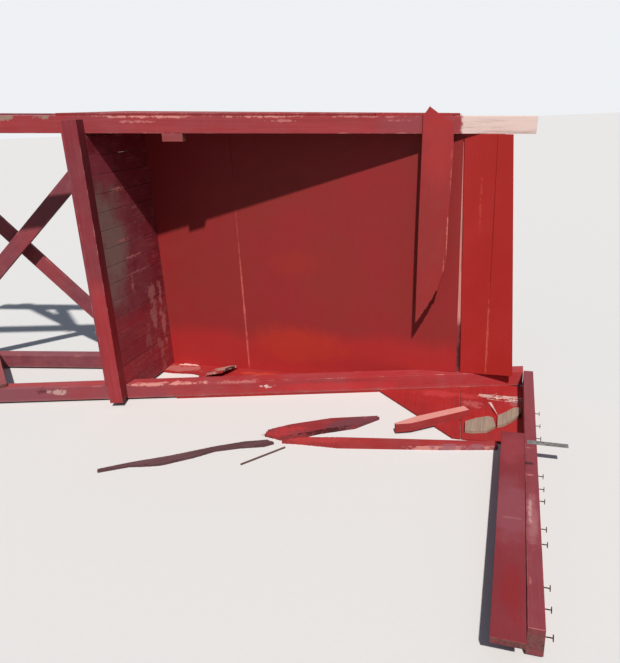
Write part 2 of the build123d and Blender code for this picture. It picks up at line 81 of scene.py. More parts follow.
RED_RAFTER_CLOUD = (0.230, 0.026, 0.040)
RED_LONG_BOARD = (0.400, 0.036, 0.036)
RED_BROKEN_BOARD = (0.300, 0.034, 0.038)
RED_BLOCK = (0.400, 0.034, 0.034)

# Wear and dirt. The darkest colour serves for stains and for painted shadows, the dull salmon for
# a painted highlight on the faces that look up
PINK_DUST = (0.360, 0.120, 0.130)
PINK_WORN = (0.560, 0.190, 0.180)
SALMON = (0.700, 0.290, 0.250)
SALMON_TOP_HIGHLIGHT = (0.700, 0.300, 0.260)
GREY_WORN = (0.250, 0.130, 0.120)
DARK_STAIN_AND_SHADOW = (0.045, 0.010, 0.012)
SAND = (0.480, 0.400, 0.330)

# Wood and metal
BARE_PINE = (0.640, 0.430, 0.380)
POST_PINE = (0.800, 0.600, 0.545)
TORN_PINE = (0.850, 0.620, 0.560)
TORN_PINE_DARK = (0.480, 0.270, 0.230)
END_WOOD = (0.190, 0.105, 0.085)
OLD_WOOD = (0.330, 0.240, 0.185)
DARK_WOOD = (0.085, 0.035, 0.034)
SPLINTER_WOOD = (0.150, 0.070, 0.075)
SPLINTER_WOOD_DARK = (0.050, 0.020, 0.024)
STICK_WOOD = (0.170, 0.105, 0.085)
BATTEN_WOOD = (0.420, 0.310, 0.230)
BATTEN_WOOD_DARK = (0.180, 0.120, 0.095)
RUST = (0.075, 0.030, 0.018)
DARK_RUST = (0.022, 0.013, 0.011)
ZINC = (0.300, 0.300, 0.295)
DULL_ZINC = (0.150, 0.140, 0.130)

# Floor and light
FLOOR_LIGHT, FLOOR_DARK = (0.74, 0.73, 0.71), (0.66, 0.65, 0.63)
FLOOR_UNSEEN = (0.20, 0.19, 0.18)       # what the floor throws back on to the tower
SKY_GLOW, SKY_STRENGTH = (0.62, 0.75, 1.0), 0.21
BACKDROP = (0.86, 0.88, 0.90)
SUN_COLOUR, SUN_STRENGTH = (1.0, 0.97, 0.93), 4.0

# Sizes
SAME_POINT = 1e-5
FLAT = math.radians(0.2)                # faces that meet at less are one face
ROUND_EDGE = 0.0016                     # radius of a worn edge
SHARP = math.radians(40)                # edges that turn by more are rounded
EDGE_FADE = 0.0020                      # width of the rim of worn-off paint
SLIVER_ROOT = 0.006                     # how deep a sliver stands in its board
SLIVER_WANDER = 0.10                    # how far slivers stray from the grain
SLIVER_THIN, SLIVER_SPREAD = 0.0007, 0.0014     # least half width, and how much it varies
LOWEST = 0.0005                         # nothing torn reaches lower over the ground
MARK_DEPTH = 0.03                       # how far from its surface a mark still shows
MARK_RIM = 0.75                         # squared distance, in half sizes, where it is half gone
MARK_SMOOTH = 0.2                       # less ragged marks fade out softly
RIM_WAVES = 1.9                         # waves of noise over a mark's size
NOISE_MIDDLE = 0.48
RELIEF = 0.003
FLOOR_REACH = 60.0

deck_low, deck_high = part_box("deck_boards")
wall_low, wall_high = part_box("back_wall_lower_sheet")
side_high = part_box("right_cheek")[1]
UP, OUT, HIGH = (1.0, 0.0, 0.0), (0.0, -1.0, 0.0), (0.0, 0.0, 1.0)

# The front posts lean back. A post's front stands POST_OUT out from the wall at the deck.
POST_LEAN = math.radians(15.95)
POST_OUT = 0.522
POST_RUN = (math.cos(POST_LEAN), math.sin(POST_LEAN), 0.0)
POST_FACE = (math.sin(POST_LEAN), -math.cos(POST_LEAN), 0.0)
LEFT_TOP, LEFT_DROP = 1.4894, 0.0503    # height and fall of the left post's upper edge


def at(up, out, high):
    """A place by its distance up the tower from the deck, out from the wall and above its side."""
    return (deck_high[0] + up, wall_low[1] - out, side_high[2] + high)


# Materials


class Value:
    """A socket of a material. Operators on it add Math nodes."""

    def __init__(self, paint, socket):
        self.paint, self.socket = paint, socket

    def math(self, operation, *others):
        inputs = dict(enumerate([self, *others]))
        return self.paint.node("ShaderNodeMath", inputs, operation=operation)

    def __add__(self, other):
        return self.math("ADD", other)

    def __sub__(self, other):
        return self.math("SUBTRACT", other)

    def __rsub__(self, other):
        return (self * -1.0) + other

    def __mul__(self, other):
        return self.math("MULTIPLY", other)

    def __truediv__(self, other):
        return self.math("DIVIDE", other)

    __radd__, __rmul__ = __add__, __mul__

    def least(self, other):
        return self.math("MINIMUM", other)

    def most(self, other):
        return self.math("MAXIMUM", other)

    def between(self, low, high):
        """0 below low, 1 above high, and a smooth step from one to the other."""
        inputs = {"Value": self, "From Min": low, "From Max": high}
        return self.paint.node("ShaderNodeMapRange", inputs, interpolation_type="SMOOTHSTEP")


class Paint:
    """The node tree of one material or world."""

    def __init__(self, owner):
        owner.use_nodes = True
        self.owner, self.tree = owner, owner.node_tree
        self.tree.nodes.clear()

    def node(self, kind, inputs=None, output=0, **settings):
        """Adds a node and gives the Value of one of its outputs, if it has any."""
        node = self.tree.nodes.new(kind)
        for key, setting in settings.items():
            setattr(node, key, setting)
        for key, given in (inputs or {}).items():
            socket = node.inputs[key]
            if isinstance(given, Value):
                self.tree.links.new(given.socket, socket)
            elif isinstance(given, tuple) and len(given) == 3 and len(socket.default_value) == 4:
                socket.default_value = (*given, 1.0)
            else:
                socket.default_value = given
        return Value(self, node.outputs[output]) if len(node.outputs) else None

    def mix(self, mask, first, second):
        """The first colour where mask is 0 and the second where it is 1."""
        inputs = {"Factor": mask, 6: first, 7: second}
        return self.node("ShaderNodeMix", inputs, output=2, data_type="RGBA")

    def dot(self, vector, direction):
        inputs = {0: vector, 1: tuple(float(part) for part in direction)}
        return self.node("ShaderNodeVectorMath", inputs, output=1, operation="DOT_PRODUCT")

    def noise(self, vector, scale, detail=4.0, roughness=0.55, distortion=0.0):
        inputs = {
            "Vector": vector,
            "Scale": scale,
            "Detail": detail,
            "Roughness": roughness,
            "Distortion": distortion,
        }
        return self.node("ShaderNodeTexNoise", inputs)

    def object_place(self):
        return self.node("ShaderNodeTexCoord", output=3)

    def faces(self, direction):
        """How much the surface's normal points along a direction."""
        return self.dot(self.node("ShaderNodeNewGeometry", output=1), direction)

    def seen(self):
        """1 where the camera sees a surface, straight or through a reflection or glass."""
        rays = [
            self.node("ShaderNodeLightPath", output=name)
            for name in ("Is Camera Ray", "Is Glossy Ray", "Is Transmission Ray")
        ]
        return rays[0].most(rays[1]).most(rays[2])

    def finish(self, colour, roughness, height, bump, metallic=0.0, gloss=0.25):
        """The material, closed with its colour, roughness and relief."""
        relief = {"Strength": bump, "Distance": RELIEF, "Height": height}
        inputs = {
            "Base Color": colour,
            "Roughness": roughness,
            "Metallic": metallic,
            "Specular IOR Level": gloss,
            "Normal": self.node("ShaderNodeBump", relief),
        }
        shader = self.node("ShaderNodeBsdfPrincipled", inputs)
        self.node("ShaderNodeOutputMaterial", {"Surface": shader})
        return self.owner


class Board:
    """A board's own directions (length, width, thickness), and its middle and half size."""

    def __init__(self, shape):
        normals = np.array([face.normal for face in shape.faces])
        areas = np.array([face.calc_area() for face in shape.faces])
        corners = np.array([vertex.co for vertex in shape.verts])
        thickness = normals[areas.argmax()]
        edges = np.array([edge.verts[1].co - edge.verts[0].co for edge in shape.edges])
        edges = edges - np.outer(edges @ thickness, thickness)
        length = edges[np.linalg.norm(edges, axis=1).argmax()]
        length = length / np.linalg.norm(length)
        self.directions = np.array([length, np.cross(thickness, length), thickness])
        along = corners @ self.directions.T
        self.middle = (along.max(axis=0) + along.min(axis=0)) / 2
        self.half = (along.max(axis=0) - along.min(axis=0)) / 2


class Mark(NamedTuple):
    """A spot, scratch or stain of a finish: an ellipse along run on the surface that faces face.

    strength is how much it covers and ragged how rough its rim is, both from 0 to 1.
    """

    centre: tuple
    run: tuple
    face: tuple
    length: float
    width: float
    colour: tuple
    strength: float
    ragged: float


def marks_on(face, rows):
    """Marks that share their face, from rows of centre, run, length, width and the rest."""
    return [Mark(at(*centre), run, face, *rest) for centre, run, *rest in rows]


def marked(paint, place, colour, marks):
    """The colour with its marks. Noise of about a mark's own size makes its rim ragged."""
    for mark in marks:
        run, face = np.array(mark.run), np.array(mark.face)
        across = np.cross(face, run)
        frames = (2 * run / mark.length, 2 * across / mark.width, face / MARK_DEPTH)
        parts = [paint.dot(place, part) - float(part @ np.array(mark.centre)) for part in frames]
        distance = parts[0] * parts[0] + parts[1] * parts[1] + parts[2] * parts[2]
        waves = RIM_WAVES / math.sqrt(mark.length * mark.width)
        ripple = paint.noise(place, waves, 6.0, 0.70) - NOISE_MIDDLE
        distance = distance + ripple * (2.0 + 18.0 * mark.ragged)
        soft = 0.75 if mark.ragged < MARK_SMOOTH else 0.35
        mask = 1.0 - distance.between(MARK_RIM - soft, MARK_RIM + soft)
        colour = paint.mix(mask * mark.strength, colour, mark.colour)
    return colour


def own_place(paint, place, board):
    """The place along the board's length, width and thickness, from its middle."""
    return [
        paint.dot(place, direction) - float(centre)
        for direction, centre in zip(board.directions, board.middle)
    ]


def grain_of(paint, own, length, width):
    """Streaks that run along the board: noise of that length and width."""
    along, across, through = own
    inputs = {0: along / length, 1: across / width, 2: through / width}
    stretched = paint.node("ShaderNodeCombineXYZ", inputs)
    return paint.noise(stretched, 1.0, 5.0, 0.62, 0.3)


def nearest_edge(board, own):
    """Distance to the nearest edge of a straight board.

    It is the second smallest of the distances to the board's three pairs of faces.
    """
    ends, sides, faces = (
        float(half) - part.math("ABSOLUTE") for half, part in zip(board.half, own)
    )
    return ends.least(sides).most(ends.most(sides).least(faces))


class Texture:
    """The noises that the layers of one board's paint share, from long streaks to speckles."""

    def __init__(self, paint, board):
        self.place = paint.object_place()
        self.own = own_place(paint, self.place, board)
        self.grain = grain_of(paint, self.own, 0.50, 0.012)
        self.fine = grain_of(paint, self.own, 0.10, 0.003)
        self.cloud = paint.noise(self.place, 2.6, 3.0)
        self.blotch = paint.noise(self.place, 13.0, 5.0, 0.62)
        self.speckle = paint.noise(self.place, 210.0, 3.0, 0.6)


def shade(colour, share):
    return tuple(share * part for part in colour)


def lower_paint(paint, texture, colour, tint, height):
    """The colour, with tint below a height."""
    above = paint.dot(texture.place, HIGH) - at(0, 0, height)[2]
    above = above + (texture.cloud - 0.5) * 0.2
    return paint.mix(1.0 - above.between(-0.08, 0.06), colour, tint)


def planked(paint, texture, colour, start, spacing):
    """The colour, with a tone for each plank, scratches, and dust rubbed in along the seams."""
    count = (paint.dot(texture.place, HIGH) - start) / spacing
    plank = {"W": count.math("FLOOR")}
    tone = paint.node("ShaderNodeTexWhiteNoise", plank, noise_dimensions="1D")
    colour = paint.mix(tone * 0.25, colour, DARK_STAIN_AND_SHADOW)
    colour = paint.mix((tone * 7.0).math("FRACT") * 0.12, colour, GREY_WORN)
    scratch = (texture.fine * 0.75 + texture.speckle * 0.25).between(0.52, 0.60)
    scratch = scratch * texture.blotch.between(0.44, 0.58)
    colour = paint.mix(scratch * 0.55, colour, PINK_WORN)
    seam = (count.math("FRACT") - 0.5).math("ABSOLUTE").between(0.43, 0.48)
    rubbed = paint.noise(texture.place, 24.0, 4.0, 0.65).between(0.50, 0.60)
    return paint.mix(seam * rubbed * 0.65, colour, PINK_DUST)


def painted_top_highlight(paint, texture, colour, top):
    """The colour, with top on the faces that look up, less some specks: a painted highlight where
    the light falls from above.
    """
    specks = (texture.blotch * 0.5 + texture.speckle * 0.5).between(0.56, 0.62)
    upward = paint.faces(HIGH).between(0.6, 0.8)
    return paint.mix(upward * (1.0 - specks * 0.5), colour, top)


def chipped(paint, texture, colour, chips):
    """The colour, with bare spots where blotches and streaks pass a limit that chips lowers."""
    limit = 0.70 - 0.3 * chips
    loss = (texture.blotch * 0.6 + texture.fine * 0.4).between(limit, limit + 0.04)
    return paint.mix(loss, colour, paint.mix(texture.fine.between(0.4, 0.6), GREY_WORN, BARE_PINE))


def worn_edges(paint, texture, board, colour, worn):
    """The colour, worn off along the edges by about worn, in some places more."""
    reach = (texture.blotch - 0.56) * (worn * 14.0) + (texture.speckle - 0.5) * (worn * 3.0)
    edge = 1.0 - (nearest_edge(board, texture.own) - reach).between(0.0, EDGE_FADE)
    return paint.mix(edge * 0.8, colour, PINK_WORN)


def unpainted(paint, texture, colour, mask, wood):
    """The colour, with bare wood where mask is 1."""
    pine = (texture.grain * 0.5 + texture.fine * 0.5).between(0.34, 0.52)
    return paint.mix(mask(paint, texture), colour, paint.mix(pine, shade(wood, 0.55), wood))


def end_grain(paint, texture, board, colour, shows):
    """The colour, with rings of end grain on the sawn ends, where no paint is left."""
    rings = paint.noise(texture.place, 42.0, 3.0, 0.5, 2.0) * 0.6 + texture.speckle * 0.4
    cut = paint.mix(rings.between(0.35, 0.65), DARK_WOOD, END_WOOD)
    kept = texture.blotch.between(0.40, 0.62) * (1.0 - shows)
    end = paint.faces(board.directions[0]).math("ABSOLUTE").between(0.75, 0.90)
    return paint.mix(end * (1.0 - kept), colour, cut)


def sanded(paint, texture, colour, sandy):
    """The colour, with grains of sand, more of them near the ground."""
    low_down = 1.0 - paint.dot(texture.place, HIGH).between(0.0, 0.05)
    grains = low_down * 0.5 + texture.speckle * 0.6 + texture.blotch * 0.2
    return paint.mix(grains.between(0.62, 0.86) * sandy, colour, SAND)


def painted(
    name,
    board,
    base,
    second=None,
    dust=0.30,
    streaks=0.30,
    worn=0.0,
    chips=0.0,
    sandy=0.0,
    marks=(),
    bare=None,
    top=None,
    low=None,
    planks=None,
    sawn_ends=0.0,
):
    """Weathered red paint on wood.

    base is its colour and second that of its cloudy patches. dust is how much pale dust lies
    on it, streaks how dark its streaks are, worn how many metres of paint the edges have
    lost, chips how much has flaked off elsewhere, and sandy how much sand sticks to it. bare
    is a mask for where there was never any paint and the colour of the wood there. top is the
    colour of the faces that look up, a painted highlight, low a colour and the height under
    which it shows, planks the first plank's place and their spacing, and sawn_ends how much
    bare end grain shows.
    """
    paint = Paint(bpy.data.materials.new(name))
    texture = Texture(paint, board)
    grain, fine, cloud = texture.grain, texture.fine, texture.cloud
    colour = paint.mix(cloud.between(0.36, 0.66), base, second or shade(base, 0.8))
    if low:
        colour = lower_paint(paint, texture, colour, *low)
    if planks:
        colour = planked(paint, texture, colour, *planks)
    streak = 1.0 - (grain * 0.7 + fine * 0.3).between(0.36, 0.62)
    colour = paint.mix(streak * streaks, colour, shade(base, 0.42))
    dusty = (cloud * 0.35 + texture.blotch * 0.35 + fine * 0.3).between(0.40, 0.68)
    colour = paint.mix(dusty * dust, colour, PINK_DUST)
    if top:
        colour = painted_top_highlight(paint, texture, colour, top)
    if chips:
        colour = chipped(paint, texture, colour, chips)
    if worn:
        colour = worn_edges(paint, texture, board, colour, worn)
    colour = marked(paint, texture.place, colour, marks)
    if bare:
        colour = unpainted(paint, texture, colour, *bare)
    if sawn_ends:
        colour = end_grain(paint, texture, board, colour, sawn_ends)
    if sandy:
        colour = sanded(paint, texture, colour, sandy)
    relief = grain * 0.35 + fine * 0.30 + texture.speckle * 0.12
    return paint.finish(colour, 0.50 + texture.blotch * 0.22, relief, 0.45)


def weathered(name, board, light, dark, paint_left=0.0, contrast=1.0):
    """Bare grey wood with deep grain and some red paint left on it."""
    paint = Paint(bpy.data.materials.new(name))
    place = paint.object_place()
    own = own_place(paint, place, board)
    grain = grain_of(paint, own, 0.35, 0.008)
    fine = grain_of(paint, own, 0.08, 0.0022)
    blotch = paint.noise(place, 16.0, 5.0, 0.6)
    tone = (grain * 0.55 + fine * 0.45).between(0.5 - 0.18 * contrast, 0.5 + 0.12 * contrast)
    limit = 0.92 - 0.5 * paint_left
    left = (blotch + grain * 0.3).between(limit, limit + 0.07)
    colour = paint.mix(left, paint.mix(tone, dark, light), RED_GUSSET)
    return paint.finish(colour, 0.75 + fine * 0.15, grain * 0.5 + fine * 0.5, 0.8)


def splintered(name, board):
    """Fresh torn plies: pale wood in fine streaks with dark gaps, and red at the paint's side."""
    paint = Paint(bpy.data.materials.new(name))
    place = paint.object_place()
    fine = grain_of(paint, own_place(paint, place, board), 0.05, 0.0016)
    blotch = paint.noise(place, 40.0, 4.0, 0.6)
    colour = paint.mix(fine.between(0.42, 0.58), DARK_WOOD, BARE_PINE)
    colour = paint.mix(blotch.between(0.50, 0.60) * 0.7, colour, RED_GUSSET)
    return paint.finish(colour, 0.85, fine, 0.8)


def metal(name, bright, dark, shine, scale):
    """Weathered metal: bright and dark patches, and spots of rust."""
    paint = Paint(bpy.data.materials.new(name))
    place = paint.object_place()
    patch = paint.noise(place, scale, 4.0, 0.65)
    speck = paint.noise(place, scale * 9, 2.0)
    colour = paint.mix(patch.between(0.38, 0.62), dark, bright)
    colour = paint.mix((patch * 0.5 + speck * 0.5).between(0.60, 0.68), colour, RUST)
    return paint.finish(colour, 0.45 + speck * 0.25, patch * 0.6 + speck * 0.4, 0.3, shine, 0.4)


def dress(piece, *materials):
    piece.data.materials.clear()
    for material in materials:
        piece.data.materials.append(material)


# Pieces


def merged_copy(node):
    """The node's mesh with its loose triangles joined and its flat faces made whole."""
    shape = bmesh.new()
    shape.from_mesh(nodes[node].data)
    bmesh.ops.remove_doubles(shape, verts=shape.verts, dist=SAME_POINT)
    bmesh.ops.dissolve_limit(shape, angle_limit=FLAT, verts=shape.verts, edges=shape.edges)
    return shape


def new_piece(name, mesh):
    piece = bpy.data.objects.new(name, mesh)
    bpy.context.scene.collection.objects.link(piece)
    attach(piece, "root")
    return piece


def sawn_board(node, rounded=True, closes=0.0):
    """A copy of a CAD board whose edges a Bevel modifier rounds.

    closes moves the upper edge of a sheet up the tower, where paint fills its joint.
    """
    shape = merged_copy(node)
    board = Board(shape)
    mesh = bpy.data.meshes.new(f"{node}_worn")
    shape.to_mesh(mesh)
    shape.free()
    if closes:
        corners = np.empty((len(mesh.vertices), 3), dtype=np.float32)
        mesh.vertices.foreach_get("co", corners.ravel())
        middle = (board.middle @ board.directions)[0]
        corners[:, 0] += closes * (corners[:, 0] > middle)
        mesh.vertices.foreach_set("co", corners.ravel())
    piece = new_piece(f"{node}_worn", mesh)
    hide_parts(node)
    if rounded:
        bevel = piece.modifiers.new("worn edges", "BEVEL")
        bevel.width, bevel.segments = ROUND_EDGE, 2
        bevel.limit_method, bevel.angle_limit = "ANGLE", SHARP
    return piece, board


def painted_board(node, closes=0.0, **choices):
    """Adds a node's sawn board in its paint and gives its directions and size."""
    piece, board = sawn_board(node, closes=closes)
    dress(piece, painted(f"{node} paint", board, **choices))
    return board


def unit(vectors):
    return vectors / np.linalg.norm(vectors, axis=-1, keepdims=True)


def slivers(roots, directions, lengths, widths):
    """Thin pyramids of torn wood, as points and faces.

    A sliver's four base corners stand around its root at plus and minus its width, and its
    point stands at the root plus its length along its direction. None reaches into the ground.
    """
    beside = np.array(HIGH) + 0.1       # not along any sliver
    flat = unit(np.cross(directions, beside))
    steep = 0.4 * unit(np.cross(directions, flat))
    rim = [flat + steep, -flat + steep, -flat - steep, flat - steep]
    corners = [roots + widths[:, None] * side for side in rim]
    tips = roots + lengths[:, None] * directions
    points = np.stack([*corners, tips], axis=1).reshape(-1, 3)
    points[:, 2] = np.maximum(points[:, 2], LOWEST)
    first = 5 * np.arange(len(roots))[:, None]
    triangles = ([1, 0, 4], [2, 1, 4], [3, 2, 4], [0, 3, 4])
    sides = np.concatenate([first + np.array(three) for three in triangles])
    return points, sides.tolist() + (first + np.array([0, 1, 2, 3])).tolist()


class Tear(NamedTuple):
    """How a plate is torn.

    where tells from up, out and high whether a side of the outline is torn, grain is the
    grain's direction, depth and spacing are those of the tear's teeth, and count and reach
    are the number and the greatest length of its slivers.
    """

    where: Callable
    grain: tuple
    depth: float
    spacing: float
    count: int
    reach: float
    seed: int


def torn_outline(corners, outward, tear):
    """An outline whose torn sides have a point every spacing.

    With the points come their inward directions, whether each starts a torn side, and whether
    each is loose: inside a torn side, or at its start when the side before it is torn too.
    """
    steps = np.roll(corners, -1, axis=0) - corners
    lengths = np.linalg.norm(steps, axis=1)
    middles = corners + steps / 2 - np.array(at(0, 0, 0))
    is_torn = tear.where(middles[:, 0], -middles[:, 1], middles[:, 2])
    parts = np.where(is_torn, np.maximum(2, np.round(lengths / tear.spacing)), 1).astype(int)
    side = np.repeat(np.arange(len(corners)), parts)
    first = np.repeat(np.cumsum(parts) - parts, parts)
    share = (np.arange(parts.sum()) - first) / parts[side]
    outline = corners[side] + share[:, None] * steps[side]
    inward = unit(np.cross(outward, steps))[side]
    loose = is_torn[side] & ((share > 0) | is_torn[side - 1])
    return outline, inward, is_torn[side], loose


def torn_plate(node, tear):
    """The node's plate with splinters along its torn sides.

    The outline is the node's largest face. Each loose point moves inwards by the tear's depth
    times a random number's square, more where the tear crosses the grain. The far face's
    points move a little differently. Slivers stand out of the tear along the grain.
    """
    shape = merged_copy(node)
    board = Board(shape)
    face = max(shape.faces, key=lambda face: face.calc_area())
    corners = np.array([vertex.co for vertex in face.verts])
    outward = np.array(face.normal)
    heights = np.array([vertex.co for vertex in shape.verts]) @ outward
    thickness = heights.max() - heights.min()
    shape.free()

    outline, inward, is_torn, loose = torn_outline(corners, outward, tear)
    grain = unit(np.array(tear.grain))
    chance = np.random.default_rng(tear.seed)
    size = tear.depth * (0.25 + 0.75 * np.abs(inward @ grain)) * loose
    near, far = chance.random((2, len(outline))) ** 2
    top = outline + (size * near)[:, None] * inward
    bottom = outline + (size * (0.6 * near + 0.4 * far))[:, None] * inward - thickness * outward
    total = len(outline)
    this = np.arange(total)
    following = np.roll(this, -1)
    walls = np.stack([this + total, following + total, following, this], axis=1)
    faces = [this.tolist(), (this[::-1] + total).tolist(), *walls.tolist()]
    finish = [0, 0, *is_torn.astype(int).tolist()]

    picked = chance.choice(np.flatnonzero(loose), min(tear.count, int(loose.sum())), replace=False)
    turn = np.sign(-inward[picked] @ grain)[:, None] * grain
    wander = chance.normal(0.0, SLIVER_WANDER, (len(picked), 3))
    depths = chance.random(len(picked))[:, None] * thickness * 0.8 + 0.1 * thickness
    roots = outline[picked] + SLIVER_ROOT * inward[picked] - depths * outward
    lengths = tear.reach * (0.35 + 0.65 * chance.random(len(picked)))
    widths = SLIVER_THIN + SLIVER_SPREAD * chance.random(len(picked))
    needles, needle_faces = slivers(roots, unit(turn + wander), lengths, widths)
    faces += [[2 * total + corner for corner in face] for face in needle_faces]
    finish += [1] * len(needle_faces)

    mesh = bpy.data.meshes.new(f"{node}_torn")
    mesh.from_pydata(np.concatenate([top, bottom, needles]).tolist(), [], faces)
    mesh.polygons.foreach_set("material_index", finish)
    piece = new_piece(f"{node}_torn", mesh)
    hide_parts(node)
    return piece, board


def painted_plate(node, tear, **choices):
    """Adds a node's torn plate in its paint, with bare splinters along the tear."""
    piece, board = torn_plate(node, tear)
    torn_wood = splintered(f"{node} torn wood", board)
    dress(piece, painted(f"{node} paint", board, **choices), torn_wood)


def lying_splinters(name, spots, ways, widths, board):
    """Pale splinters torn off the ply, which lie on it: a sliver from each spot along its way."""
    roots = np.stack(at(*np.array(spots).T), axis=1)
    ways = np.array(ways)
    points, faces = slivers(roots, unit(ways), np.linalg.norm(ways, axis=1), np.array(widths))
    mesh = bpy.data.meshes.new(name)
    mesh.from_pydata(points.tolist(), [], faces)
    piece = new_piece(name, mesh)
    dress(piece, weathered(f"{name} wood", board, TORN_PINE, TORN_PINE_DARK))


# Back wall. A row of marks gives the centre (up, out, high), run, length, width, colour,
# strength and raggedness.
JOINT_PAINT = {"back_wall_lower_sheet": 0.0022, "back_wall_upper_board": 0.0024}
SHEET_PAINT = dict(base=RED_SHEET, second=RED_SHEET_CLOUD, low=(RED_SHEET_LOW, 0.24))
STRIP_PAINT = dict(base=RED_STRIP, second=RED_STRIP_CLOUD)
first_joint = marks_on(OUT, [
    ((0.5155, 0.0, 0.36), HIGH, 0.90, 0.013, (0.640, 0.130, 0.110), 0.9, 0.10),
    ((0.5155, 0.0, 0.92), HIGH, 0.60, 0.008, (0.430, 0.070, 0.060), 0.7, 0.10),
])
sheet_marks = marks_on(OUT, [
    ((0.84, 0.0, 0.19), UP, 0.60, 0.24, (0.440, 0.034, 0.016), 0.6, 0.10),
    ((0.85, 0.0, 0.66), UP, 0.34, 0.18, (0.330, 0.030, 0.020), 0.4, 0.10),
])
third_joint = marks_on(OUT, [
    ((1.895, 0.0, 0.28), HIGH, 0.52, 0.010, (0.620, 0.130, 0.080), 0.8, 0.12),
    ((1.895, 0.0, 0.85), HIGH, 0.60, 0.005, (0.260, 0.012, 0.010), 0.6, 0.12),
])
strip_marks = marks_on(OUT, [
    ((1.83, 0.0, 0.98), HIGH, 0.26, 0.012, (0.520, 0.060, 0.045), 0.5, 0.6),
])
wall_looks = {
    "back_wall_lower_sheet": (first_joint, SHEET_PAINT),
    "back_wall_middle_sheet": (first_joint + sheet_marks, SHEET_PAINT),
    "back_wall_upper_board": (third_joint + strip_marks, STRIP_PAINT),
    "back_wall_top_board": (third_joint, STRIP_PAINT),
}
for node, (marks, paints) in wall_looks.items():
    closes = JOINT_PAINT.get(node, 0.0)
    painted_board(node, closes, dust=0.03, streaks=0.05, marks=marks, **paints)

# Panels of the sides
corner_tear = Tear(
    where=lambda up, out, high: (up < 0.34) & (out > 0.10) & (out < 0.45),
    grain=UP, depth=0.016, spacing=0.006, count=26, reach=0.035, seed=3,
)
# The first and third marks, bright along the foot of the wall, are a painted highlight.
cheek_marks = marks_on(HIGH, [
    ((0.11, 0.012, 0.0), UP, 0.12, 0.030, (0.800, 0.500, 0.450), 1.0, 0.3),
    ((0.06, 0.07, 0.0), UP, 0.36, 0.10, (0.460, 0.160, 0.140), 0.75, 0.25),
    ((0.62, 0.06, 0.0), UP, 0.50, 0.05, (0.520, 0.060, 0.030), 0.7, 0.25),
    ((0.30, 0.27, 0.0), OUT, 0.30, 0.05, (0.500, 0.300, 0.250), 0.7, 0.35),
])
painted_plate(
    "right_cheek", corner_tear, base=RED_GUSSET, dust=0.20, chips=0.1, marks=cheek_marks
)
painted_board("left_cheek", base=RED_SHEET, dust=0.25, worn=0.001, chips=0.1)

gusset_marks = marks_on(HIGH, [
    ((1.905, 0.100, 0.0), UP, 0.080, 0.022, BARE_PINE, 1.0, 0.4),
    ((1.965, 0.105, 0.0), UP, 0.090, 0.016, (0.800, 0.450, 0.420), 1.0, 0.4),
    ((2.052, 0.095, 0.0), UP, 0.080, 0.030, BARE_PINE, 0.9, 0.4),
    ((2.06, 0.16, 0.0), UP, 0.100, 0.090, PINK_DUST, 0.7, 0.4),
    ((1.70, 0.12, 0.0), UP, 0.34, 0.08, (0.520, 0.050, 0.050), 0.7, 0.15),
    ((1.86, 0.21, 0.0), UP, 0.14, 0.07, (0.500, 0.120, 0.120), 0.6, 0.4),
])
for node in ("right_gusset_lower", "right_gusset_upper"):
    gusset = painted_board(node, base=RED_GUSSET, dust=0.10, chips=0.05, marks=gusset_marks)

# Splinters on the upper gusset, and a sliver that leans on the batten
SPLINTERS = 30
chance = np.random.default_rng(21)
spots = np.stack(
    [
        1.87 + 0.20 * chance.random(SPLINTERS),
        0.085 + 0.06 * chance.random(SPLINTERS),
        np.full(SPLINTERS, 0.0015),
    ],
    axis=1,
)
ways = np.stack(
    [
        0.03 + 0.07 * chance.random(SPLINTERS),
        chance.normal(0.0, 0.016, SPLINTERS),
        np.full(SPLINTERS, 0.003),
    ],
    axis=1,
)
widths = 0.0014 + 0.0022 * chance.random(SPLINTERS)
lying_splinters("gusset_splinters", spots, ways, widths, gusset)
lying_splinters(
    "standing_sliver", [(1.928, 0.180, 0.002)], [(0.0449, -0.1695, 0.0173)], [0.0075], gusset
)
stub_tear = Tear(
    where=lambda up, out, high: up > 1.66,
    grain=UP, depth=0.022, spacing=0.004, count=16, reach=0.03, seed=5,
)
painted_plate("left_gusset_stub", stub_tear, base=RED_GUSSET, dust=0.35, chips=0.3)

# Header
header_tear = Tear(
    where=lambda up, out, high: ((high < 0.60) & (up > 1.54)) | (high > 1.43),
    grain=HIGH, depth=0.010, spacing=0.005, count=10, reach=0.02, seed=8,
)
# The three thin marks are worn paint. The broad last mark, brighter red over the header's upper
# part, is a painted highlight.
header_marks = marks_on(POST_FACE, [
    ((1.690, 0.062, 1.12), HIGH, 0.30, 0.010, (0.520, 0.100, 0.090), 0.7, 0.3),
    ((1.680, 0.065, 0.84), HIGH, 0.34, 0.009, (0.640, 0.180, 0.140), 0.8, 0.3),
    ((1.666, 0.069, 0.66), HIGH, 0.16, 0.007, (0.600, 0.160, 0.130), 0.7, 0.3),
    ((1.62, 0.080, 1.33), HIGH, 0.50, 0.20, (0.450, 0.034, 0.037), 0.6, 0.05),
])
painted_plate(
    "header_board", header_tear,
    base=RED_HEADER, second=RED_HEADER_CLOUD, dust=0.12, streaks=0.08, marks=header_marks,
)


# Posts and legs
def bare_top(paint, texture):
    """The post's top, from under the roof, was never painted."""
    height = paint.dot(texture.place, UP) - at(0, 0, 0)[0]
    return (height + (texture.blotch - 0.5) * 0.05).between(1.725, 1.737)


def left_post_mark(up, below, *rest):
    """A mark on the left post's front, a little below its upper edge."""
    spot = at(up, POST_OUT - math.tan(POST_LEAN) * up, LEFT_TOP - LEFT_DROP * up - below)
    return Mark(spot, (POST_RUN[0], POST_RUN[1], -LEFT_DROP), POST_FACE, *rest)


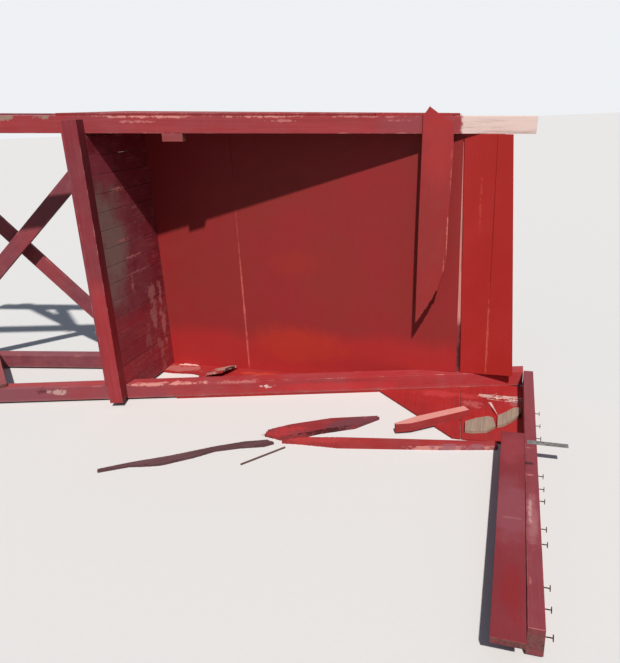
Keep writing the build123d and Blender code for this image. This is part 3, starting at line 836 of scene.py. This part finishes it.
left_post_marks = [
    left_post_mark(1.990, 0.046, 0.022, 0.015, DARK_STAIN_AND_SHADOW, 1.0, 0.1),
    left_post_mark(0.30, 0.004, 0.50, 0.014, SALMON, 0.8, 0.3),
    left_post_mark(0.82, 0.003, 0.36, 0.012, SALMON, 0.7, 0.35),
    left_post_mark(1.30, 0.003, 0.42, 0.010, PINK_WORN, 0.7, 0.35),
    left_post_mark(0.24, 0.026, 0.20, 0.014, PINK_WORN, 0.7, 0.3),
    left_post_mark(0.92, 0.022, 0.16, 0.012, PINK_WORN, 0.7, 0.3),
    left_post_mark(1.45, 0.020, 0.14, 0.010, PINK_WORN, 0.6, 0.3),
    left_post_mark(0.62, 0.060, 0.30, 0.020, (0.330, 0.030, 0.032), 0.6, 0.2),
    left_post_mark(1.52, 0.040, 0.40, 0.070, (0.290, 0.060, 0.070), 0.6, 0.15),
    Mark(at(-0.45, 0.64, 1.50), POST_RUN, POST_FACE, 0.60, 0.040, OLD_WOOD, 0.8, 0.3),
]
right_post_marks = marks_on(POST_FACE, [
    ((-0.90, 0.779, 0.04), POST_RUN, 2.34, 0.60, (0.225, 0.076, 0.095), 0.85, 0.05),
    ((0.21, 0.460, 0.078), POST_RUN, 0.46, 0.020, SALMON, 0.95, 0.3),
    ((0.60, 0.350, 0.075), POST_RUN, 0.30, 0.014, PINK_WORN, 0.7, 0.35),
    ((0.752, 0.306, 0.044), POST_RUN, 0.085, 0.022, (0.800, 0.620, 0.580), 1.0, 0.3),
    ((-0.374, 0.629, 0.053), POST_RUN, 0.110, 0.036, (0.550, 0.330, 0.300), 0.9, 0.3),
    ((1.10, 0.210, 0.030), POST_RUN, 0.80, 0.050, (0.560, 0.032, 0.034), 0.6, 0.15),
    ((-0.46, 0.655, 0.065), POST_RUN, 0.07, 0.05, DARK_STAIN_AND_SHADOW, 0.6, 0.25),
])
painted_board(
    "left_front_post", base=RED_UPPER_POST, second=RED_UPPER_POST_CLOUD, dust=0.22, worn=0.002,
    marks=left_post_marks, bare=(bare_top, POST_PINE), sawn_ends=0.6,
)
painted_board(
    "right_front_post", base=RED_LOWER_POST, second=RED_LOWER_POST_CLOUD, worn=0.002,
    chips=0.03, marks=right_post_marks, sandy=0.15, sawn_ends=0.6,
)
for node in ("left_back_leg", "right_back_leg", "back_brace_front", "back_brace_rear"):
    painted_board(
        node, base=RED_LEG, second=RED_PLUM, dust=0.45, streaks=0.35, worn=0.0015, sandy=0.15,
        sawn_ends=0.6,
    )
for node in ("left_side_brace", "right_side_brace", "left_cleat"):
    painted_board(node, base=RED_BRACE, dust=0.40, worn=0.0015, chips=0.1, sawn_ends=0.6)

# Deck
DECK_PLANKS = 16
plank = (deck_high[2] - deck_low[2]) / DECK_PLANKS
deck_marks = marks_on(UP, [
    ((0, 0.38, 0.80), HIGH, 1.00, 0.50, (0.260, 0.070, 0.085), 0.55, 0.15),
    ((0, 0.46, 0.88), HIGH, 0.74, 0.28, (0.250, 0.180, 0.155), 0.85, 0.10),
    ((0, 0.40, 1.24), HIGH, 0.30, 0.24, (0.300, 0.045, 0.070), 0.7, 0.2),
    ((0, 0.332, 1.123), OUT, 0.13, 0.020, PINK_WORN, 0.75, 0.35),
    ((0, 0.191, 1.007), OUT, 0.10, 0.016, PINK_DUST, 0.8, 0.35),
    ((0, 0.347, 0.856), OUT, 0.08, 0.018, PINK_WORN, 0.8, 0.35),
    ((0, 0.277, 0.752), OUT, 0.18, 0.018, PINK_WORN, 0.7, 0.35),
    ((0, 0.230, 0.661), OUT, 0.26, 0.018, PINK_DUST, 0.9, 0.35),
    ((0, 0.315, 0.600), HIGH, 0.12, 0.030, PINK_WORN, 0.7, 0.35),
    ((0, 0.142, 0.420), HIGH, 0.30, 0.080, (0.460, 0.190, 0.180), 0.7, 0.35),
    ((0, 0.062, 0.340), HIGH, 0.40, 0.050, PINK_WORN, 0.75, 0.35),
    ((0, 0.231, 0.239), HIGH, 0.20, 0.060, PINK_DUST, 0.6, 0.35),
    ((0, 0.120, 0.120), HIGH, 0.30, 0.060, (0.440, 0.160, 0.140), 0.6, 0.35),
])
painted_board(
    "deck_boards", base=RED_DECK, second=RED_DECK_CLOUD, dust=0.14, marks=deck_marks,
    low=(RED_DECK_LOW, 0.45), planks=(deck_low[2], plank),
)
painted_board(
    "front_rim", base=RED_RIM, second=RED_RIM_CLOUD, dust=0.24, worn=0.0012,
    low=(RED_RIM_LOW, 0.7), sawn_ends=0.5,
)
for node in ("front_bearer", "middle_bearer", "back_bearer", "left_bearer", "right_bearer"):
    painted_board(
        node, base=RED_BEARER, second=RED_PLUM, dust=0.35, worn=0.002, chips=0.1, sawn_ends=0.6
    )


# Studs and nailers
def bare_seam(paint, texture):
    """The nailer's face in the open joint, pale above and darker below."""
    height = paint.dot(texture.place, HIGH) - at(0, 0, 0)[2]
    behind = wall_high[1] + 0.002 - paint.dot(texture.place, (0.0, 1.0, 0.0))
    pale = (height + (texture.blotch - 0.5) * 0.1).between(0.34, 0.40)
    return pale * behind.between(0.0, 0.001)


seam_look = dict(
    bare=(bare_seam, SALMON),
    marks=marks_on(OUT, [((1.760, -0.012, 0.20), HIGH, 0.44, 0.04, DARK_STAIN_AND_SHADOW, 1.0, 0.1)]),
)
for node in ("left_back_stud", "right_back_stud", "lower_nailer", "upper_nailer", "top_nailer"):
    seam = seam_look if node == "upper_nailer" else {}
    painted_board(node, base=RED_BEARER, worn=0.0015, chips=0.1, sawn_ends=0.7, **seam)

# Roof edge
valance_marks = marks_on(HIGH, [
    ((2.03, 1.20, 0.095), OUT, 0.46, 0.16, (0.260, 0.070, 0.088), 0.7, 0.12),
    ((2.01, 1.26, 0.095), UP, 0.12, 0.016, (0.330, 0.110, 0.130), 0.6, 0.3),
    ((2.03, 0.78, 0.095), OUT, 0.26, 0.12, (0.300, 0.046, 0.058), 0.6, 0.12),
    ((2.04, 1.62, 0.095), OUT, 0.26, 0.07, (0.250, 0.014, 0.016), 0.6, 0.12),
])
painted_board(
    "right_valance", base=RED_VALANCE, second=RED_VALANCE_CLOUD, dust=0.10, streaks=0.06,
    marks=valance_marks, sawn_ends=0.1,
)
rafter_marks = marks_on(HIGH, [
    ((2.096, 0.885, 0.095), UP, 0.055, 0.024, DARK_STAIN_AND_SHADOW, 1.0, 0.15),
    ((2.104, 1.240, 0.095), OUT, 0.30, 0.045, (0.420, 0.170, 0.180), 0.65, 0.12),
    ((2.098, 1.200, 0.095), OUT, 0.16, 0.014, (0.560, 0.300, 0.290), 0.7, 0.25),
    ((2.100, 0.970, 0.095), UP, 0.05, 0.012, PINK_WORN, 0.7, 0.3),
    ((2.100, 0.760, 0.095), UP, 0.04, 0.010, PINK_WORN, 0.6, 0.3),
    ((2.092, 1.560, 0.095), OUT, 0.05, 0.008, (0.420, 0.130, 0.110), 0.7, 0.3),
])
painted_board(
    "right_rafter", base=RED_RAFTER, second=RED_RAFTER_CLOUD, streaks=0.25, worn=0.0004,
    marks=rafter_marks, sawn_ends=0.1,
)
strap, board = sawn_board("rafter_strap", rounded=False)
dress(strap, metal("galvanised strap", ZINC, DULL_ZINC, 0.5, 60.0))
nails, board = sawn_board("roofing_nails", rounded=False)
dress(nails, metal("rusty nails", RUST, DARK_RUST, 0.3, 140.0))


# Broken pieces on the ground
def everywhere(up, out, high):
    return up > -math.inf


long_tear = Tear(
    where=lambda up, out, high: up < 1.30,
    grain=(0.98, 0.17, 0.0), depth=0.010, spacing=0.005, count=14, reach=0.03, seed=11,
)
long_marks = marks_on(HIGH, [
    ((1.74, 0.682, 0.006), (0.97, 0.22, 0.0), 0.56, 0.018, SALMON, 0.85, 0.25),
    ((1.82, 0.655, 0.006), (0.97, 0.22, 0.0), 0.36, 0.040, (0.330, 0.110, 0.130), 0.8, 0.2),
    ((1.20, 0.735, 0.006), (0.98, 0.17, 0.0), 0.40, 0.07, (0.460, 0.050, 0.048), 0.7, 0.2),
])
painted_plate(
    "loose_long_board", long_tear, base=RED_LONG_BOARD, dust=0.35, chips=0.1, marks=long_marks
)

broken_tear = Tear(
    where=lambda up, out, high: (up < 1.10) | (up > 1.39) | ((out > 0.60) & (up < 1.25)),
    grain=(0.86, 0.50, 0.0), depth=0.008, spacing=0.005, count=14, reach=0.025, seed=12,
)
# The third mark, dark along the board's outer edge, is painted shade where the board stands off
# the ground.
broken_marks = marks_on(HIGH, [
    ((1.30, 0.53, 0.006), (0.78, 0.62, 0.0), 0.40, 0.11, (0.150, 0.050, 0.062), 0.8, 0.2),
    ((0.99, 0.70, 0.006), (0.90, 0.43, 0.0), 0.22, 0.10, (0.460, 0.040, 0.044), 0.8, 0.2),
    ((1.16, 0.655, 0.006), (0.85, 0.52, 0.0), 0.34, 0.022, DARK_STAIN_AND_SHADOW, 0.9, 0.3),
])
painted_plate(
    "loose_broken_board", broken_tear,
    base=RED_BROKEN_BOARD, dust=0.35, streaks=0.4, chips=0.2, marks=broken_marks,
)

splinter_tear = Tear(
    where=everywhere,
    grain=(0.88, 0.47, 0.0), depth=0.005, spacing=0.006, count=12, reach=0.02, seed=13,
)
splinter, board = torn_plate("loose_splinter", splinter_tear)
dress(
    splinter,
    weathered("splinter wood", board, SPLINTER_WOOD, SPLINTER_WOOD_DARK, paint_left=0.1),
    splintered("torn splinter wood", board),
)
stick, board = sawn_board("loose_stick")
dress(stick, weathered("stick wood", board, STICK_WOOD, DARK_WOOD))
batten, board = sawn_board("loose_batten")
dress(batten, weathered("batten wood", board, BATTEN_WOOD, BATTEN_WOOD_DARK, contrast=1.4))
# Its faces that look up get a paler colour: a painted highlight.
painted_board("loose_short_block", base=RED_BLOCK, dust=0.25, worn=0.0015, top=SALMON_TOP_HIGHLIGHT)

flap_tear = Tear(
    where=everywhere, grain=UP, depth=0.014, spacing=0.005, count=18, reach=0.03, seed=14
)
# The pale mark is bare wood. The dark mark is a painted shadow: the shade under a raised edge of
# the flap, which lies flat.
flap_marks = marks_on(HIGH, [
    ((0.37, 0.10, 0.03), UP, 0.22, 0.16, (0.460, 0.300, 0.250), 0.9, 0.35),
    ((0.43, 0.09, 0.035), OUT, 0.13, 0.06, DARK_STAIN_AND_SHADOW, 1.0, 0.25),
])
painted_plate(
    "loose_torn_flap", flap_tear, base=RED_GUSSET, dust=0.45, chips=0.5, marks=flap_marks
)

# Pale floor and backdrop. The camera sees both as pale, but they light the tower less.
floor_paint = Paint(bpy.data.materials.new("pale floor"))
floor_grains = floor_paint.noise(floor_paint.object_place(), 60.0, 3.0)
pale = floor_paint.mix(floor_grains * 0.3, FLOOR_LIGHT, FLOOR_DARK)
tone = floor_paint.mix(floor_paint.seen(), FLOOR_UNSEEN, pale)
floor_mesh = bpy.data.meshes.new("floor")
corners = np.array([[-1, -1, 0], [1, -1, 0], [1, 1, 0], [-1, 1, 0]]) * FLOOR_REACH
floor_mesh.from_pydata(corners.tolist(), [], [(0, 1, 2, 3)])
floor_mesh.materials.append(floor_paint.finish(tone, 0.95, floor_grains, 0.05))
floor = bpy.data.objects.new("floor", floor_mesh)
bpy.context.scene.collection.objects.link(floor)

sky = Paint(bpy.data.worlds.new("soft studio"))
glow = sky.node("ShaderNodeBackground", {"Color": SKY_GLOW, "Strength": SKY_STRENGTH})
backdrop = sky.node("ShaderNodeBackground", {"Color": BACKDROP, "Strength": 1.0})
either = sky.node("ShaderNodeMixShader", {0: sky.seen(), 1: glow, 2: backdrop})
sky.node("ShaderNodeOutputWorld", {"Surface": either})
bpy.context.scene.world = sky.owner


def turn_to(forward, right_hint):
    """Matrix whose -Z axis points along forward and whose X axis lies near right_hint."""
    back = -np.array(forward) / np.linalg.norm(forward)
    up = np.cross(back, right_hint)
    up = up / np.linalg.norm(up)
    return np.stack([np.cross(up, back), up, back], axis=1)


def place_by(thing, turn, spot):
    matrix = np.eye(4)
    matrix[:3, :3], matrix[:3, 3] = turn, spot
    thing.matrix_world = mathutils.Matrix(matrix.tolist())


# The light travels from the front, above and a little to the right
key_light = bpy.data.lights.new("key", "SUN")
key_light.energy, key_light.color, key_light.angle = SUN_STRENGTH, SUN_COLOUR, math.radians(1.5)
key = bpy.data.objects.new("key", key_light)
key.rotation_mode = "QUATERNION"
place_by(key, turn_to((-0.342, 1.0, -1.25), UP), (2.0, -4.0, 5.0))
bpy.context.scene.collection.objects.link(key)

# Camera at the photograph's viewing angle
YAW, PITCH, ROLL = math.radians(-18.34), math.radians(19.72), math.radians(2.92)
SENSOR = 36.0
FOCAL_SHARE = 616.55 / 620.0            # focal length as a share of the image's width
CAMERA_UP, CAMERA_OUT, CAMERA_HEIGHT = 1.965, 3.169, 1.4745
forward = np.array(
    [math.sin(YAW) * math.cos(PITCH), math.cos(YAW) * math.cos(PITCH), -math.sin(PITCH)]
)
level_right = np.array([math.cos(YAW), -math.sin(YAW), 0.0])
level_down = np.cross(forward, level_right)
right = math.cos(ROLL) * level_right + math.sin(ROLL) * level_down
down = -math.sin(ROLL) * level_right + math.cos(ROLL) * level_down
lens = bpy.data.cameras.new("camera")
lens.sensor_fit, lens.sensor_width, lens.lens = "HORIZONTAL", SENSOR, SENSOR * FOCAL_SHARE
camera = bpy.data.objects.new("camera", lens)
camera_place = (deck_high[0] + CAMERA_UP, wall_low[1] - CAMERA_OUT, CAMERA_HEIGHT)
place_by(camera, np.stack([right, -down, -forward], axis=1), camera_place)
bpy.context.scene.collection.objects.link(camera)
bpy.context.scene.camera = camera

bpy.context.scene.view_settings.view_transform = "Standard"
